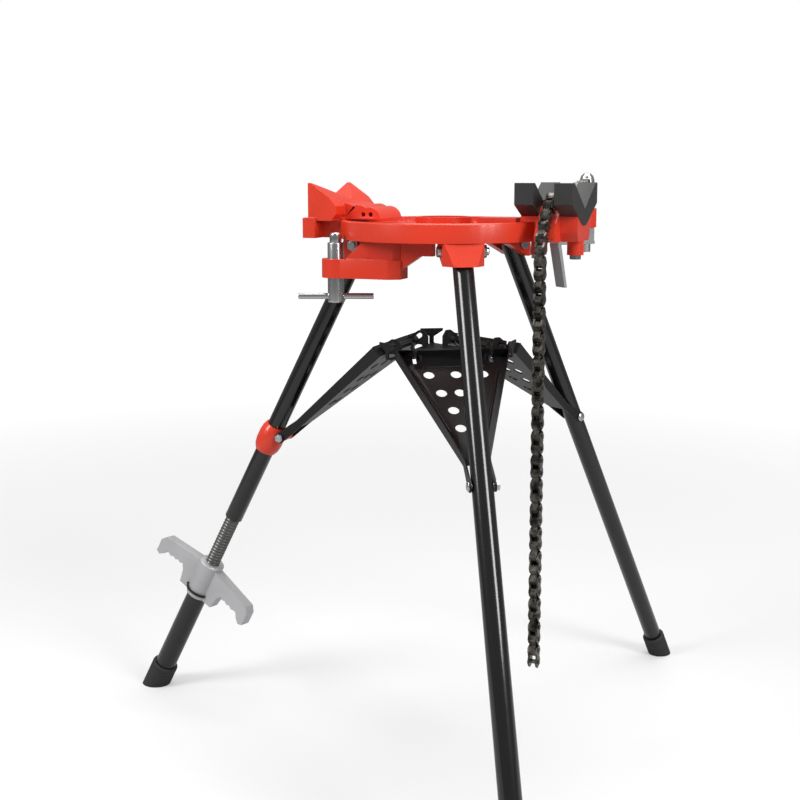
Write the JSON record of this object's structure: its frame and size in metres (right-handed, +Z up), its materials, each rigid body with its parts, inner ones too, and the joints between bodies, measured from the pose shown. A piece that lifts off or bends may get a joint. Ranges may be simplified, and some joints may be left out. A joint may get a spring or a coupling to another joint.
{
  "type": "tripod pipe vise stand",
  "caption": "Folding three-legged stand with a round cast base, bottom-screw chain vise, V pipe rest, ceiling brace screw, hinged three-wing tray and a screw-adjusted rear leg",
  "frame": {"origin": "on the floor under the middle of the footprint box", "axes": "+Z up; +X along the held pipe towards the vise jaws; +Y across it, away from the hanging chain"},
  "size_m": [0.914, 1.045, 0.9615],
  "materials": {
    "red_paint": "gloss",
    "black_paint": "gloss",
    "tray_paint": "satin",
    "jaw_steel": "matte",
    "zinc": "bright",
    "galvanised": "dull",
    "cast_alloy": "satin",
    "chain_steel": "oily",
    "crank_steel": "satin",
    "rubber": "matte"
  },
  "bodies": {
    "base": {"base_tray": "red_paint", "leg_pivot_bolts": "zinc", "pipe_rest": "red_paint", "brace_bracket": "red_paint", "vise_head": "red_paint", "jaw_rear": "jaw_steel", "jaw_front": "jaw_steel", "jaw_bolts": "zinc", "chain_drape_plates": "chain_steel", "chain_drape_links": "chain_steel", "chain_drape_pins": "chain_steel"},
    "right_leg": {"leg_right": "black_paint", "foot_right": "rubber", "ear_bolt_right": "zinc"},
    "left_leg": {"leg_left": "black_paint", "foot_left": "rubber", "ear_bolt_left": "zinc"},
    "rear_upper_leg": {"leg_rear": "black_paint", "rear_collar": "red_paint", "collar_screw": "zinc", "rear_leg_screw": "galvanised", "ear_bolt_rear": "zinc"},
    "rear_lower_leg": {"rear_leg_lower": "black_paint", "foot_rear": "rubber"},
    "leg_nut": {"rear_leg_handle": "cast_alloy", "handle_clip": "jaw_steel"},
    "right_panel": {"panel_right": "tray_paint", "hinge_pin_right": "zinc"},
    "left_panel": {"panel_left": "tray_paint", "hinge_pin_left": "zinc"},
    "rear_panel": {"panel_rear": "tray_paint", "hinge_pin_rear": "zinc"},
    "hub": {"tray_hub": "tray_paint"},
    "brace_top": {"brace_cap": "zinc"},
    "brace_spindle": {"brace_screw": "zinc"},
    "brace_handle": {"brace_t_bar": "zinc"},
    "chain_lifter": {"chain_screw": "zinc", "chain_screw_pin": "zinc"},
    "vise_crank": {"crank": "crank_steel"},
    "chain_lead": {"chain_lead_plates": "chain_steel", "chain_lead_links": "chain_steel", "chain_lead_pins": "chain_steel"},
    "chain_tail": {"chain_tail_plates": "chain_steel", "chain_tail_links": "chain_steel", "chain_tail_pins": "chain_steel"}
  },
  "joints": [
    {"name": "rear_leg_fold", "type": "hinge", "parent": "base", "child": "rear_upper_leg", "pos_m": [-0.00028, 0, 0.8434], "axis": [0, -1, 0], "range_deg": [0, 27]},
    {"name": "right_leg_fold", "type": "hinge", "parent": "base", "child": "right_leg", "pos_m": [0.2206, -0.12752, 0.8434], "axis": [0.866, 0.5, 0], "range_deg": [0, 27]},
    {"name": "left_leg_fold", "type": "hinge", "parent": "base", "child": "left_leg", "pos_m": [0.2206, 0.12752, 0.8434], "axis": [-0.866, 0.5, 0], "range_deg": [0, 27]},
    {"name": "hub_lift", "type": "slide", "parent": "base", "child": "hub", "axis": [0, 0, 1], "range_m": [0, 0.07175]},
    {"name": "right_panel_fold", "type": "hinge", "parent": "right_leg", "child": "right_panel", "pos_m": [0.30231, -0.26906, 0.52264], "axis": [0.866, 0.5, 0], "range_deg": [0, 13.75]},
    {"name": "left_panel_fold", "type": "hinge", "parent": "left_leg", "child": "left_panel", "pos_m": [0.30231, 0.26906, 0.52264], "axis": [-0.866, 0.5, 0], "range_deg": [0, 13.75]},
    {"name": "rear_panel_fold", "type": "hinge", "parent": "rear_upper_leg", "child": "rear_panel", "pos_m": [-0.1492, 0, 0.50267], "axis": [0, -1, 0], "range_deg": [0, 14.39]},
    {"name": "rear_leg_extend", "type": "slide", "parent": "rear_upper_leg", "child": "rear_lower_leg", "axis": [-0.454, 0, -0.891], "range_m": [-0.098, 0.06]},
    {"name": "leg_nut_turn", "type": "hinge", "parent": "rear_lower_leg", "child": "leg_nut", "pos_m": [-0.30085, 0, 0.25349], "axis": [-0.454, 0, -0.891], "range_deg": [-5885, 3605]},
    {"name": "brace_lift", "type": "slide", "parent": "base", "child": "brace_top", "axis": [0, 0, 1], "range_m": [-0.02, 0.015]},
    {"name": "brace_turn", "type": "hinge", "parent": "brace_top", "child": "brace_spindle", "pos_m": [0.00691, -0.11794, 0.84], "axis": [0, 0, 1], "range_deg": [-1441, 1081]},
    {"name": "brace_bar_slide", "type": "slide", "parent": "brace_spindle", "child": "brace_handle", "axis": [0.9285, 0.3714, 0], "range_m": [-0.03, 0.03]},
    {"name": "chain_screw_lift", "type": "slide", "parent": "base", "child": "chain_lifter", "axis": [0, 0, 1], "range_m": [-0.012, 0.004]},
    {"name": "crank_turn", "type": "hinge", "parent": "base", "child": "vise_crank", "pos_m": [0.34197, 0.17, 0.842], "axis": [0, 0, 1], "range_deg": [-1081, 361]},
    {"name": "chain_lead_hinge", "type": "hinge", "parent": "chain_lifter", "child": "chain_lead", "pos_m": [0.34197, 0.17, 0.9405], "axis": [0.9996, -0.0289, 0], "range_deg": [-12.13, 4.08]},
    {"name": "chain_tail_swing", "type": "hinge", "parent": "base", "child": "chain_tail", "pos_m": [0.33427, -0.09589, 0.80914], "axis": [0.9996, -0.0289, 0], "range_deg": [-18, 18]}
  ],
  "couplings": [
    {"joint": "right_leg_fold", "follows": "rear_leg_fold", "ratio": 1},
    {"joint": "left_leg_fold", "follows": "rear_leg_fold", "ratio": 1},
    {"joint": "hub_lift", "follows": "rear_leg_fold", "m_per_rad": 0.15204},
    {"joint": "right_panel_fold", "follows": "rear_leg_fold", "ratio": 0.5074},
    {"joint": "left_panel_fold", "follows": "rear_leg_fold", "ratio": 0.5074},
    {"joint": "rear_panel_fold", "follows": "rear_leg_fold", "ratio": 0.531},
    {"joint": "leg_nut_turn", "follows": "rear_leg_extend", "rad_per_m": 1047.2},
    {"joint": "brace_turn", "follows": "brace_lift", "rad_per_m": 1256.6},
    {"joint": "crank_turn", "follows": "chain_screw_lift", "rad_per_m": 1570.8},
    {"joint": "chain_lead_hinge", "follows": "chain_screw_lift", "rad_per_m": 17.567}
  ]
}
